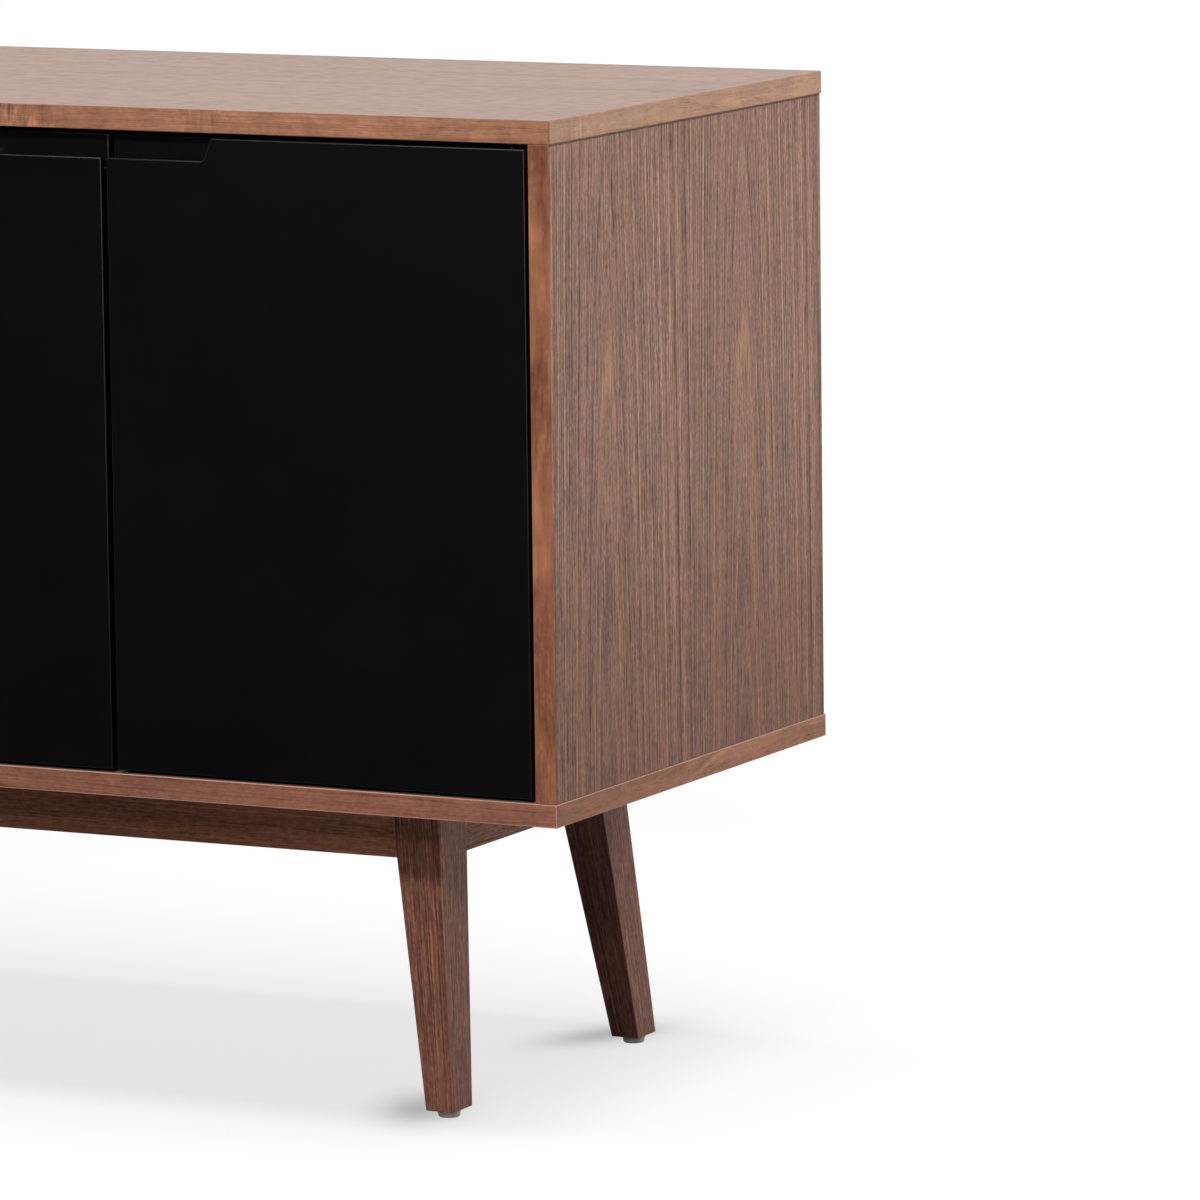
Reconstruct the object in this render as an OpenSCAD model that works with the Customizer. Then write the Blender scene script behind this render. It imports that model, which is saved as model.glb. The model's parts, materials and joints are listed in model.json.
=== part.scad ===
// Sideboard buffet: a veneered carcass on a splayed leg frame, with four pivot-hung
// doors, three drawers on full-extension runners and two adjustable shelves.
// Millimetres, +Z up, front towards -Y. The origin is on the floor, under the middle
// of the carcass.

/* [Carcass] */
// Width over the top and bottom panels
width = 1800; // [1780:1:1850]
// Depth over the top and bottom panels
depth = 465; // [455:1:520]
// Height of the carcass, top and bottom panels included
body_h = 520; // [500:1:560]
// Thickness of the top and bottom panels
panel_t = 17.5; // [17:0.5:20]
// Thickness of the side panels
side_t = 17; // [16:0.5:18]
// How far the side panels stand in from the ends of the top and bottom
side_inset = 0.5; // [0.2:0.1:1.5]
// How far the side panels stand in from the rear edge of the top and bottom
rear_inset = 2; // [0:0.5:4]
// Thickness of the two partitions
partition_t = 17.5; // [16:0.5:18]
// Thickness of the back panels
back_t = 6; // [4:0.5:6]
// Thickness of the shelves
shelf_t = 16; // [15:0.5:18]

/* [Fronts] */
// Width of one door
door_w = 349.5; // [345:0.5:352]
// Thickness of the doors and drawer fronts
front_t = 18; // [18:0.5:19]
// How far the doors and drawer fronts sit behind the front edges
front_setback = 1; // [0.5:0.5:3]
// Gap between an outer door and the side panel
end_gap = 3.3; // [3:0.1:5]
// Gap between neighbouring fronts
front_gap = 4.5; // [3.5:0.1:5]
// Gap above the doors
top_gap = 4; // [3:0.5:5]
// Gap below the doors
bottom_gap = 2.5; // [2.5:0.5:4]
// Gap between one drawer front and the next
drawer_gap = 4; // [3:0.5:5]

/* [Finger pulls] */
// Length along its ledge of the pull of a drawer, and twice the part in an outer door
pull_len = 170.5; // [140:0.5:200]
// Twice the part of a pull that is in an inner door
inner_pull_len = 204; // [140:0.5:220]
// How much further a pull runs at each end along the top edge
pull_slope = 6; // [3:0.5:10]
// Drop from the top edge of a front to the ledge
pull_drop = 17; // [14:0.5:22]
// Depth of the pull behind the front face
pull_depth = 12; // [11:0.5:12]
// Thickness of the lip that the fingers hook behind
pull_lip = 5; // [4:0.5:6]
// Depth of the finger groove behind the lip
pull_groove = 10; // [6:0.5:14]

/* [Leg frame] */
// Height of a leg, without its glide
leg_h = 234; // [180:1:260]
// Height of a glide under its leg
glide_h = 6; // [4:0.5:8]
// Leg section at the top, along X and Y
leg_top = [41, 45.5];
// Leg section at the foot, along X and Y
leg_foot = [23.5, 31];
// Leg centre at the top, in from the end and the front of the carcass
leg_top_at = [161, 103];
// Leg centre at the foot, in from the end and the front of the carcass
leg_foot_at = [132.5, 76.3];
// Height of the aprons
apron_h = 47; // [40:1:60]
// Thickness of the aprons and the cross rail
apron_t = 20; // [18:1:24]
// How far the aprons sit behind the outer faces of the legs
apron_setback = 2; // [0:0.5:4]

/* [Drawers] */
// Depth of a drawer box
box_depth = 400; // [350:1:410]
// Height of a drawer box
box_h = 120; // [100:1:125]
// Thickness of the drawer sides and ends
box_t = 12; // [10:1:13]
// Thickness of a drawer bottom
box_bottom_t = 6; // [4:0.5:6]
// Length of a runner
runner_len = 390; // [340:1:395]

/* [Hidden] */
$fn = 48;
// A cut runs this far past the face that it opens
over = 1;
// Clearance between two pieces that slide past each other
slip = 0.4;
// Clearance between a moving piece and what stops it
stop_gap = 0.3;

front_y = -depth / 2;
base_z = glide_h + leg_h;
body_top = base_z + body_h;
in_bottom = base_z + panel_t;
in_top = body_top - panel_t;
in_h = in_top - in_bottom;

side_in_x = width / 2 - side_inset - side_t;
side_rear_y = depth / 2 - rear_inset;
outer_hinge_x = side_in_x - end_gap;
meet_x = outer_hinge_x - door_w - front_gap / 2;
inner_hinge_x = meet_x - front_gap / 2 - door_w;
partition_out_x = inner_hinge_x - 0.2;
partition_in_x = partition_out_x - partition_t;

face_y = front_y + front_setback;
front_back_y = face_y + front_t;
partition_y = front_back_y + 1;

// Back panels: let into a rebate round the rear of the carcass
rebate_w = 8;
back_y = depth / 2 - 16;

door_z = in_bottom + bottom_gap;
door_h = in_h - top_gap - bottom_gap;
pull_r = 5;

// Pivot hinges: a plate with a pin in the door, a flanged bush in the carcass
pivot_in = 14;
pin_r = 2.5;
pin_reach = 7;
pin_clearance = 0.05;
collar_r = 4;
collar_t = 1.2;
plate = [40, 12, 2];
plate_edge = 4;
bush_r = 4.5;
bush_len = 9;
bush_cap = 1;
flange_r = 6.5;
flange_t = 1;

// Magnetic catches above and stop blocks below, behind the doors' free edges
catch_size = [40, 14, 12];
catch_at = 36;
strike_size = [30, 1, 11];
strike_drop = 1;
stop_size = [26, 10, 10];

// Shelves on round pins, with spare holes above and below
shelf_gap = 0.5;
shelf_front = 45;
shelf_z = (in_bottom + in_top) / 2;
shelf_pin_r = 2.5;
shelf_pin_in = 10;
shelf_pin_out = 8;
shelf_hole_pitch = 32;
shelf_hole_steps = 2;
shelf_pin_y = [front_y + 80, front_y + 400];

// Carcass joints: wooden dowels and cam locks between panels
dowel_r = 4;
dowel_up = 19;
dowel_in = 11;
dowel_y = [front_y + 140, front_y + 330];
cam_r = 7.5;
cam_deep = 12.5;
cam_edge = 34;
cam_bolt_r = 3;
cam_bolt_in = 11;
cam_slot = [10, 2, 1.5];
cam_y = [front_y + 60, front_y + 380];

// Drawers
drawer_w = 2 * (inner_hinge_x - front_gap);
drawer_front_h = (door_h - 2 * drawer_gap) / 3;
drawer_pitch = drawer_front_h + drawer_gap;
runner_t = 12.7;
runner_h = 45;
runner_wall = 1.2;
runner_lip = 9.5;
runner_y = front_back_y + 3;
box_w = 2 * (partition_in_x - runner_t);
box_lift = 12;
bottom_groove = 5;
bottom_lift = 10;
runner_lift = box_lift + box_h / 2;

// Leg frame
leg_x = width / 2 - leg_top_at[0];
leg_y = front_y + leg_top_at[1];
foot_x = width / 2 - leg_foot_at[0];
foot_y = front_y + leg_foot_at[1];
apron_face_y = leg_y - leg_top[1] / 2 + apron_setback;
apron_face_x = leg_x + leg_top[0] / 2 - apron_setback;
apron_drop = apron_h / leg_h;
block_arm = 58;
block_h = 30;
glide_r = [9.25, 8.2, 7.4];
glide_edge = 0.8;
nail_r = 1.5;
nail_len = 14;
screw_r = 2.25;
screw_head_r = 4.5;
screw_head_h = 3;
screw_in = 12;
block_screw_at = [24, 12];
apron_screw_x = 380;
apron_screw_deep = 22;

WALNUT = "#8a5f49";
WALNUT_EDGE = "#a46a46";
WALNUT_DARK = "#5b3a2b";
INSIDE = "#7a5946";
BLACK = "#17171a";
BIRCH = "#d8bd93";
METAL = "#a8abad";
NYLON = "#77797b";

// ---- Helpers ----------------------------------------------------------------

// A box between two corners
module span(low, high) {
    translate(low) cube(high - low);
}

// The children and their mirror image in X
module both_sides() {
    children();
    mirror([1, 0, 0]) children();
}

// The children, their mirror images in X and Y, and both together
module four_corners() {
    both_sides() {
        children();
        mirror([0, 1, 0]) children();
    }
}

function unit(v) = v / norm(v);

// Points of the arc that rounds the corner b of the path a, b, c
function rounded(a, b, c, r, steps = 8) =
    let (
        to_a = unit(a - b),
        to_c = unit(c - b),
        half = acos(to_a * to_c) / 2,
        centre = b + unit(to_a + to_c) * r / sin(half),
        start = b + to_a * r / tan(half) - centre,
        end = b + to_c * r / tan(half) - centre,
        first = atan2(start[1], start[0]),
        turn = atan2(end[1], end[0]) - first,
        sweep = turn > 180 ? turn - 360 : turn < -180 ? turn + 360 : turn
    )
    [for (i = [0:steps]) centre + r * [cos(first + sweep * i / steps), sin(first + sweep * i / steps)]];

// ---- Finger pull --------------------------------------------------------------

// Outline of a pull seen from the front, its ledge on y = 0 and its middle on x = 0
module pull_outline(length) {
    ledge = [length / 2, 0];
    slant = [pull_slope, pull_drop];
    top = ledge + slant * (pull_drop + over) / pull_drop;
    corner = rounded([0, 0], ledge, top, pull_r);
    right = concat(corner, [top]);
    left = [for (i = [len(right) - 1:-1:0]) [-right[i][0], right[i][1]]];
    polygon(concat(right, left));
}

// The space of a pull: an open rebate above the ledge and a groove behind the lip.
// The front face of the door or drawer is y = 0.
module pull_space(length = pull_len) {
    groove_r = (pull_depth - pull_lip) / 2;
    translate([0, pull_depth, 0])
        rotate([90, 0, 0])
            linear_extrude(pull_depth + over)
                pull_outline(length);
    translate([-length / 2 + pull_r, pull_lip, groove_r - pull_groove])
        cube([length - 2 * pull_r, pull_depth - pull_lip, pull_groove]);
    translate([-length / 2 + pull_r, pull_lip + groove_r, groove_r - pull_groove])
        rotate([0, 90, 0])
            cylinder(r = groove_r, h = length - 2 * pull_r);
}

// ---- Positions ------------------------------------------------------------------

// Puts a piece drawn from a door's hinge edge (x = 0, free edge on +x, front face
// y = 0, foot z = 0) where that door is. side is -1 for left and 1 for right.
module at_door(side, outer) {
    hinge_x = outer ? outer_hinge_x : inner_hinge_x;
    flip = (side > 0) == outer;
    translate([side * hinge_x, face_y, door_z])
        mirror([flip ? 1 : 0, 0, 0])
            children();
}

// The same for the pieces that belong to all four doors
module at_each_door() {
    for (side = [-1, 1])
        for (outer = [true, false])
            at_door(side, outer)
                children();
}

// Puts a piece drawn from a drawer front's foot where drawer number i is, from below
module at_drawer(i) {
    translate([0, 0, door_z + i * drawer_pitch]) children();
}

// The inner faces of the upright panels, at x = 0 and facing +x
module at_upright_faces() {
    for (x = [-side_in_x, partition_out_x])
        translate([x, 0, 0]) children();
    for (x = [side_in_x, -partition_out_x])
        translate([x, 0, 0]) mirror([1, 0, 0]) children();
}

// ---- Hardware cuts and solids ----------------------------------------------------

// Middles of the upright panels
upright_x = [
    -side_in_x - side_t / 2, -partition_in_x - partition_t / 2,
    partition_in_x + partition_t / 2, side_in_x + side_t / 2
];

// Dowels at both ends of each upright
module dowels() {
    for (x = upright_x)
        for (y = dowel_y) {
            translate([x, y, in_top - dowel_up]) cylinder(r = dowel_r, h = dowel_up + dowel_in);
            translate([x, y, in_bottom - dowel_in]) cylinder(r = dowel_r, h = dowel_up + dowel_in);
        }
}

// Cam locks: a slotted disc let into the upright and a bolt into the panel beyond it.
// clear is true for the space that a lock takes, without its screwdriver slot.
module cam_lock(clear) {
    difference() {
        union() {
            translate([-cam_deep, 0, 0]) rotate([0, 90, 0]) cylinder(r = cam_r, h = cam_deep);
            translate([-side_t / 2, 0, 0]) cylinder(r = cam_bolt_r, h = cam_edge + cam_bolt_in);
        }
        if (!clear)
            for (turn = [0, 90])
                rotate([turn + 45, 0, 0])
                    cube([2 * cam_slot[2], cam_slot[0], cam_slot[1]], center = true);
    }
}

// The locks of one upright whose face is x = 0, with the panel behind it on -x
module upright_cam_locks(clear) {
    for (y = cam_y) {
        translate([0, y, in_top - cam_edge]) cam_lock(clear);
        translate([0, y, in_bottom + cam_edge]) mirror([0, 0, 1]) cam_lock(clear);
    }
}

module all_cam_locks(clear = false) {
    both_sides() {
        translate([-side_in_x, 0, 0]) upright_cam_locks(clear);
        translate([partition_in_x, 0, 0]) mirror([1, 0, 0]) upright_cam_locks(clear);
    }
}

// Spare and used holes for the shelf pins, behind a face at x = 0
module shelf_holes() {
    for (y = shelf_pin_y)
        for (step = [-shelf_hole_steps:shelf_hole_steps])
            translate([-shelf_pin_in, y, shelf_z + step * shelf_hole_pitch])
                rotate([0, 90, 0])
                    cylinder(r = shelf_pin_r, h = shelf_pin_in + over);
}

// Bores for the bushes of the door pivots, above and below the doors
module bush_bores() {
    at_each_door()
        translate([pivot_in, front_t / 2, 0]) {
            translate([0, 0, door_h + top_gap]) cylinder(r = bush_r, h = bush_len);
            translate([0, 0, -bottom_gap - bush_len]) cylinder(r = bush_r, h = bush_len);
        }
}

// One frame screw, its head at z = 0 and its point up
module frame_screw(length) {
    cylinder(r1 = screw_head_r, r2 = screw_r, h = screw_head_h);
    cylinder(r = screw_r, h = length);
}

// Screws up through the blocks, the long aprons and the cross rail
module frame_screws_layout() {
    apron_mid_y = apron_face_y + apron_t / 2;
    four_corners()
        translate([-leg_x + leg_top[0] / 2 + block_screw_at[0],
                   apron_face_y + apron_t + block_screw_at[1], base_z - block_h])
            frame_screw(block_h + screw_in);
    four_corners()
        translate([apron_screw_x, apron_mid_y, base_z - apron_h + apron_screw_deep])
            frame_screw(apron_h - apron_screw_deep + screw_in);
    for (y = [-1, 1])
        translate([0, y * depth / 6, base_z - apron_h + apron_screw_deep])
            frame_screw(apron_h - apron_screw_deep + screw_in);
}

// Counterbores that let the screws up into the aprons and the cross rail
module frame_counterbores() {
    apron_mid_y = apron_face_y + apron_t / 2;
    four_corners()
        translate([apron_screw_x, apron_mid_y, base_z - apron_h - over])
            cylinder(r = screw_head_r + 0.5, h = apron_screw_deep + over);
    for (y = [-1, 1])
        translate([0, y * depth / 6, base_z - apron_h - over])
            cylinder(r = screw_head_r + 0.5, h = apron_screw_deep + over);
}

// ---- Carcass ---------------------------------------------------------------------

module top_panel() {
    color(WALNUT)
        difference() {
            span([-width / 2, front_y, in_top], [width / 2, depth / 2, body_top]);
            span([-side_in_x - rebate_w, back_y, in_top - over],
                 [side_in_x + rebate_w, depth / 2 + over, in_top + rebate_w]);
            dowels();
            all_cam_locks(true);
            bush_bores();
        }
}

module bottom_panel() {
    color(WALNUT)
        difference() {
            span([-width / 2, front_y, base_z], [width / 2, depth / 2, in_bottom]);
            span([-side_in_x - rebate_w, back_y, in_bottom - rebate_w],
                 [side_in_x + rebate_w, depth / 2 + over, in_bottom + over]);
            dowels();
            all_cam_locks(true);
            bush_bores();
            frame_screws_layout();
        }
}

// The left side panel
module side_panel() {
    difference() {
        span([-side_in_x - side_t, front_y, in_bottom], [-side_in_x, side_rear_y, in_top]);
        span([-side_in_x - rebate_w, back_y, in_bottom - over],
             [-side_in_x + over, side_rear_y + over, in_top + over]);
        dowels();
        all_cam_locks(true);
        translate([-side_in_x, 0, 0]) shelf_holes();
    }
}

module side_panel_left() { color(WALNUT) side_panel(); }
module side_panel_right() { color(WALNUT) mirror([1, 0, 0]) side_panel(); }

// The right partition
module partition() {
    difference() {
        span([partition_in_x, partition_y, in_bottom], [partition_out_x, back_y, in_top]);
        dowels();
        all_cam_locks(true);
        translate([partition_out_x, 0, 0]) shelf_holes();
    }
}

module partition_left() { color(INSIDE) mirror([1, 0, 0]) partition(); }
module partition_right() { color(INSIDE) partition(); }

// A back panel from x = a to x = b
module back_panel(a, b) {
    color(INSIDE)
        span([a, back_y, in_bottom - rebate_w], [b, back_y + back_t, in_top + rebate_w]);
}

// The back panels meet behind the middles of the partitions
module back_panel_left() { back_panel(-side_in_x - rebate_w, upright_x[1]); }
module back_panel_centre() { back_panel(upright_x[1], upright_x[2]); }
module back_panel_right() { back_panel(upright_x[2], side_in_x + rebate_w); }

// The right shelf, resting on its pins
module shelf() {
    color(INSIDE)
        span([partition_out_x + shelf_gap, front_y + shelf_front, shelf_z + shelf_pin_r],
             [side_in_x - shelf_gap, back_y - shelf_gap, shelf_z + shelf_pin_r + shelf_t]);
}

module shelf_left() { mirror([1, 0, 0]) shelf(); }
module shelf_right() { shelf(); }

module shelf_pins() {
    color(METAL)
        at_upright_faces()
            for (y = shelf_pin_y)
                translate([-shelf_pin_in, y, shelf_z])
                    rotate([0, 90, 0])
                        cylinder(r = shelf_pin_r, h = shelf_pin_in + shelf_pin_out);
}

module carcass_dowels() { color(BIRCH) dowels(); }

module cam_locks() { color(METAL) all_cam_locks(); }

// A flanged bush, its flange on z = 0 and its body up into the panel
module bush() {
    bore_r = pin_r + pin_clearance;
    rotate_extrude()
        polygon([
            [bore_r, -flange_t], [flange_r, -flange_t], [flange_r, 0], [bush_r, 0],
            [bush_r, bush_len], [0, bush_len], [0, bush_len - bush_cap],
            [bore_r, bush_len - bush_cap]
        ]);
}

module pivot_bushes() {
    color(NYLON)
        at_each_door()
            translate([pivot_in, front_t / 2, 0]) {
                translate([0, 0, door_h + top_gap]) bush();
                translate([0, 0, -bottom_gap]) mirror([0, 0, 1]) bush();
            }
}

// Catches under the top panel, one behind each door's free top corner
module magnetic_catches() {
    color(NYLON)
        at_each_door()
            translate([door_w - catch_at, front_t + strike_size[1] + stop_gap, door_h + top_gap])
                translate([-catch_size[0] / 2, 0, -catch_size[2]])
                    cube(catch_size);
}

// Blocks on the bottom panel that the doors close against
module door_stops() {
    color(NYLON)
        at_each_door()
            translate([door_w - catch_at - stop_size[0] / 2, front_t + stop_gap, -bottom_gap])
                cube(stop_size);
}

// ---- Doors ---------------------------------------------------------------------

module door(pull = pull_len) {
    color(BLACK)
        difference() {
            cube([door_w, front_t, door_h]);
            translate([door_w + front_gap / 2, 0, door_h - pull_drop]) pull_space(pull);
            for (z = [-over, door_h - plate[2]])
                translate([plate_edge, (front_t - plate[1]) / 2, z])
                    cube([plate[0], plate[1], plate[2] + over]);
        }
}

// A pivot plate with its collar and pin, the plate's outer face on z = 0, pin up
module pivot(gap) {
    translate([-pivot_in + plate_edge, -plate[1] / 2, -plate[2]]) cube(plate);
    cylinder(r = collar_r, h = collar_t);
    cylinder(r = pin_r, h = gap + pin_reach);
}

module door_pivots() {
    color(METAL)
        translate([pivot_in, front_t / 2, 0]) {
            translate([0, 0, door_h]) pivot(top_gap);
            mirror([0, 0, 1]) pivot(bottom_gap);
        }
}

// The steel plate on the back of a door that its catch pulls on
module door_strike() {
    color(METAL)
        translate([door_w - catch_at - strike_size[0] / 2, front_t,
                   door_h - strike_drop - strike_size[2]])
            cube(strike_size);
}

module door_left_outer() { at_door(-1, true) door(); }
module door_left_inner() { at_door(-1, false) door(inner_pull_len); }
module door_right_inner() { at_door(1, false) door(inner_pull_len); }
module door_right_outer() { at_door(1, true) door(); }
module pivots_left_outer() { at_door(-1, true) door_pivots(); }
module pivots_left_inner() { at_door(-1, false) door_pivots(); }
module pivots_right_inner() { at_door(1, false) door_pivots(); }
module pivots_right_outer() { at_door(1, true) door_pivots(); }
module strike_left_outer() { at_door(-1, true) door_strike(); }
module strike_left_inner() { at_door(-1, false) door_strike(); }
module strike_right_inner() { at_door(1, false) door_strike(); }
module strike_right_outer() { at_door(1, true) door_strike(); }

// ---- Drawers -------------------------------------------------------------------

// One channel of a runner: its web is at x = web, and its two flanges run from x = 0
// to x = reach. half is half of its height.
module channel(web, reach, half) {
    translate([0, runner_y, runner_lift]) {
        translate([web, 0, -half]) cube([runner_wall, runner_len, 2 * half]);
        for (z = [-half, half - runner_wall])
            translate([0, 0, z]) cube([reach, runner_len, runner_wall]);
    }
}

// Puts a runner's pieces on both partitions, with x = 0 on the partition's face
module on_partitions() {
    translate([-partition_in_x, 0, 0]) children();
    translate([partition_in_x, 0, 0]) mirror([1, 0, 0]) children();
}

outer_half = runner_h / 2;
mid_half = outer_half - runner_wall - slip;
inner_half = mid_half - runner_wall - slip;
mid_x = runner_wall + slip;
inner_x = mid_x + runner_wall + slip;

// The channels screwed to the partitions, three on each side
module runner_channels() {
    color(METAL)
        for (i = [0:2])
            at_drawer(i)
                on_partitions()
                    channel(0, runner_lip, outer_half);
}

// The channels between, which travel half as far as the drawer
module runner_mid(i) {
    color(METAL)
        at_drawer(i)
            on_partitions()
                translate([mid_x, 0, 0])
                    channel(0, runner_lip, mid_half);
}

// The channels screwed to the drawer's sides
module drawer_rails(i) {
    color(METAL)
        at_drawer(i)
            on_partitions()
                translate([inner_x, 0, 0])
                    channel(runner_t - inner_x - runner_wall, runner_t - inner_x, inner_half);
}

module drawer_front(i) {
    color(BLACK)
        at_drawer(i)
            difference() {
                translate([-drawer_w / 2, face_y, 0]) cube([drawer_w, front_t, drawer_front_h]);
                translate([0, face_y, drawer_front_h - pull_drop]) pull_space();
            }
}

// The board under a drawer, let into grooves in the sides and ends
module drawer_base_solid() {
    edge = box_t - bottom_groove;
    span([-box_w / 2 + edge, front_back_y + edge, box_lift + bottom_lift],
         [box_w / 2 - edge, front_back_y + box_depth - edge, box_lift + bottom_lift + box_bottom_t]);
}

module drawer_base(i) {
    color(BIRCH) at_drawer(i) drawer_base_solid();
}

module drawer_sides(i) {
    color(BIRCH)
        at_drawer(i)
            difference() {
                both_sides()
                    span([-box_w / 2, front_back_y, box_lift],
                         [-box_w / 2 + box_t, front_back_y + box_depth, box_lift + box_h]);
                drawer_base_solid();
            }
}

// The inner front and the back of a drawer box, between its sides
module drawer_ends(i) {
    color(BIRCH)
        at_drawer(i)
            difference() {
                for (y = [0, box_depth - box_t])
                    span([-box_w / 2 + box_t, front_back_y + y, box_lift],
                         [box_w / 2 - box_t, front_back_y + y + box_t, box_lift + box_h]);
                drawer_base_solid();
            }
}

// ---- Leg frame -----------------------------------------------------------------

// The space of the front right leg, from the carcass down to the glide: an upright
// wedge seen from the front crossed with one seen from the side
module leg_solid() {
    bottom_z = glide_h;
    intersection() {
        translate([0, depth / 2, 0])
            rotate([90, 0, 0])
                linear_extrude(depth)
                    polygon([
                        [leg_x - leg_top[0] / 2, base_z], [foot_x - leg_foot[0] / 2, bottom_z],
                        [foot_x + leg_foot[0] / 2, bottom_z], [leg_x + leg_top[0] / 2, base_z]
                    ]);
        rotate([90, 0, 90])
            linear_extrude(width / 2)
                polygon([
                    [leg_y - leg_top[1] / 2, base_z], [foot_y - leg_foot[1] / 2, bottom_z],
                    [foot_y + leg_foot[1] / 2, bottom_z], [leg_y + leg_top[1] / 2, base_z]
                ]);
    }
}

module leg() {
    color(WALNUT_DARK)
        difference() {
            leg_solid();
            translate([foot_x, foot_y, glide_h]) cylinder(r = nail_r, h = nail_len);
        }
}

module leg_front_right() { leg(); }
module leg_front_left() { mirror([1, 0, 0]) leg(); }
module leg_rear_right() { mirror([0, 1, 0]) leg(); }
module leg_rear_left() { mirror([1, 0, 0]) mirror([0, 1, 0]) leg(); }

// Tapered glides nailed up into the feet
module glides() {
    color(NYLON)
        four_corners()
            translate([foot_x, foot_y, 0])
                rotate_extrude()
                    polygon([
                        [0, 0], [glide_r[2], 0], [glide_r[1], glide_edge], [glide_r[0], glide_h],
                        [nail_r, glide_h], [nail_r, glide_h + nail_len], [0, glide_h + nail_len]
                    ]);
}

// Where the inner face of a leg has moved to at the foot of the apron
apron_cut_x = (foot_x - leg_foot[0] / 2 - leg_x + leg_top[0] / 2) * apron_drop;
apron_cut_y = (foot_y + leg_foot[1] / 2 - leg_y - leg_top[1] / 2) * apron_drop;

module long_apron() {
    end = leg_x - leg_top[0] / 2;
    color(WALNUT_DARK)
        difference() {
            translate([0, apron_face_y + apron_t, 0])
                rotate([90, 0, 0])
                    linear_extrude(apron_t)
                        polygon([
                            [-end, base_z], [-end - apron_cut_x, base_z - apron_h],
                            [end + apron_cut_x, base_z - apron_h], [end, base_z]
                        ]);
            frame_screws_layout();
            frame_counterbores();
        }
}

module apron_front() { long_apron(); }
module apron_rear() { mirror([0, 1, 0]) long_apron(); }

module short_apron() {
    end = leg_y + leg_top[1] / 2;
    color(WALNUT_DARK)
        translate([apron_face_x - apron_t, 0, 0])
            rotate([90, 0, 90])
                linear_extrude(apron_t)
                    polygon([
                        [end, base_z], [end + apron_cut_y, base_z - apron_h],
                        [-end - apron_cut_y, base_z - apron_h], [-end, base_z]
                    ]);
}

module apron_right() { short_apron(); }
module apron_left() { mirror([1, 0, 0]) short_apron(); }

module cross_rail() {
    y = -apron_face_y - apron_t;
    color(WALNUT_DARK)
        difference() {
            span([-apron_t / 2, -y, base_z - apron_h], [apron_t / 2, y, base_z]);
            frame_screws_layout();
            frame_counterbores();
        }
}

// Braces in the corners of the frame, fitted round the inner corner of each leg
module corner_blocks() {
    leg_in_x = -leg_x + leg_top[0] / 2;
    leg_in_y = leg_y + leg_top[1] / 2;
    apron_in_x = -apron_face_x + apron_t;
    apron_in_y = apron_face_y + apron_t;
    color(BIRCH)
        difference() {
            four_corners()
                translate([0, 0, base_z - block_h])
                    linear_extrude(block_h)
                        polygon([
                            [leg_in_x, leg_in_y], [leg_in_x, apron_in_y],
                            [leg_in_x + block_arm, apron_in_y],
                            [apron_in_x, leg_in_y + block_arm], [apron_in_x, leg_in_y]
                        ]);
            frame_screws_layout();
        }
}

module frame_screws() { color(METAL) frame_screws_layout(); }

// ---- The part ------------------------------------------------------------------

top_panel();
bottom_panel();
side_panel_left();
side_panel_right();
partition_left();
partition_right();
back_panel_left();
back_panel_centre();
back_panel_right();
shelf_left();
shelf_right();
shelf_pins();
carcass_dowels();
cam_locks();
pivot_bushes();
magnetic_catches();
door_stops();
runner_channels();
apron_front();
apron_rear();
apron_left();
apron_right();
cross_rail();
corner_blocks();
frame_screws();
leg_front_left();
leg_front_right();
leg_rear_left();
leg_rear_right();
glides();
door_left_outer();
door_left_inner();
door_right_inner();
door_right_outer();
pivots_left_outer();
pivots_left_inner();
pivots_right_inner();
pivots_right_outer();
strike_left_outer();
strike_left_inner();
strike_right_inner();
strike_right_outer();
runner_mid(0);  // runner_mid_bottom
runner_mid(1);  // runner_mid_middle
runner_mid(2);  // runner_mid_top
drawer_front(0);  // drawer_front_bottom
drawer_front(1);  // drawer_front_middle
drawer_front(2);  // drawer_front_top
drawer_sides(0);  // drawer_sides_bottom
drawer_sides(1);  // drawer_sides_middle
drawer_sides(2);  // drawer_sides_top
drawer_ends(0);  // drawer_ends_bottom
drawer_ends(1);  // drawer_ends_middle
drawer_ends(2);  // drawer_ends_top
drawer_base(0);  // drawer_base_bottom
drawer_base(1);  // drawer_base_middle
drawer_base(2);  // drawer_base_top
drawer_rails(0);  // drawer_rails_bottom
drawer_rails(1);  // drawer_rails_middle
drawer_rails(2);  // drawer_rails_top
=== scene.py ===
"""The looks of a long walnut sideboard with black doors and drawers on a splayed leg frame.

Every shown CAD node is replaced by a copy with softened arrises, or keeps its shape, and
gets a finish made of nodes. Small hardware is added as pieces of its own. Metres, in the
frame of the CAD model: +Z up, the front towards -Y.
"""

import json
import math

import bmesh
import bpy
from mathutils import Matrix, Vector


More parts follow.
